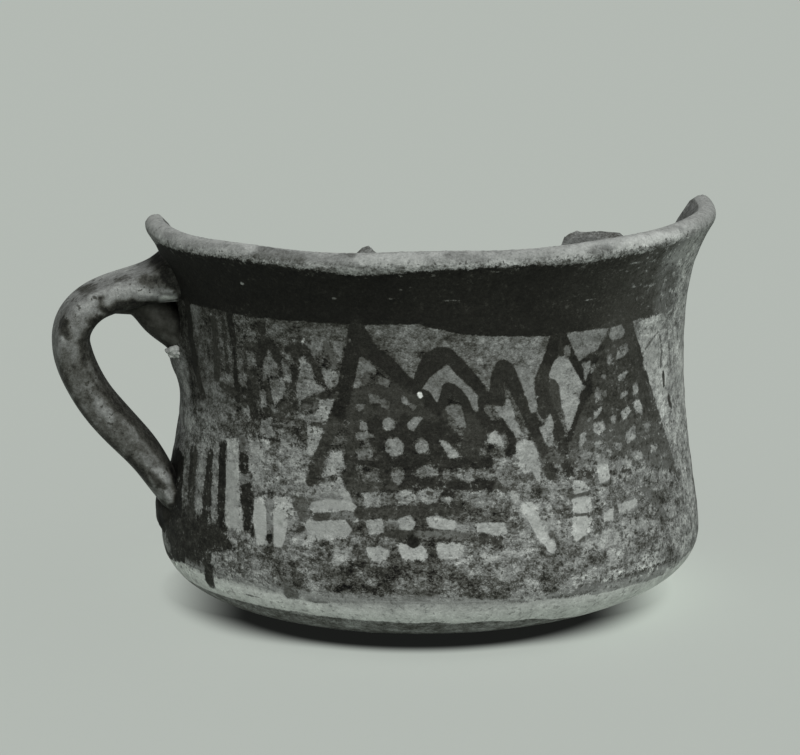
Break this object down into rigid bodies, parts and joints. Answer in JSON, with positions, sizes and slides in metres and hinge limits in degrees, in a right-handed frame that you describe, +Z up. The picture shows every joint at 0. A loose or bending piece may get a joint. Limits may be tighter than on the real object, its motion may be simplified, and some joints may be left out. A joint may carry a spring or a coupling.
{
  "type": "pottery cup",
  "caption": "Wide, straight-sided clay cup with a flaring lip, a rounded belly, a small flat base and a strap handle; the back of the rim is broken away.",
  "frame": {"origin": "on the cup's axis, on the flat underside that it rests on", "axes": "+Z up along the cup's axis, the handle points to -X and the whole side of the rim faces -Y"},
  "size_m": [0.1308, 0.1103, 0.0794],
  "materials": {
    "painted_clay": "unglazed fired clay with worn dark paint",
    "strap_clay": "unglazed fired clay, rubbed dark paint",
    "luting_clay": "unglazed fired clay, dark paint",
    "repair_plaster": "matte plaster"
  },
  "bodies": {
    "root": {"vessel_body": "painted_clay", "handle_strap": "strap_clay", "upper_root_clay": "luting_clay", "lower_root_clay": "luting_clay", "plaster_fill": "repair_plaster"}
  },
  "joints": []
}
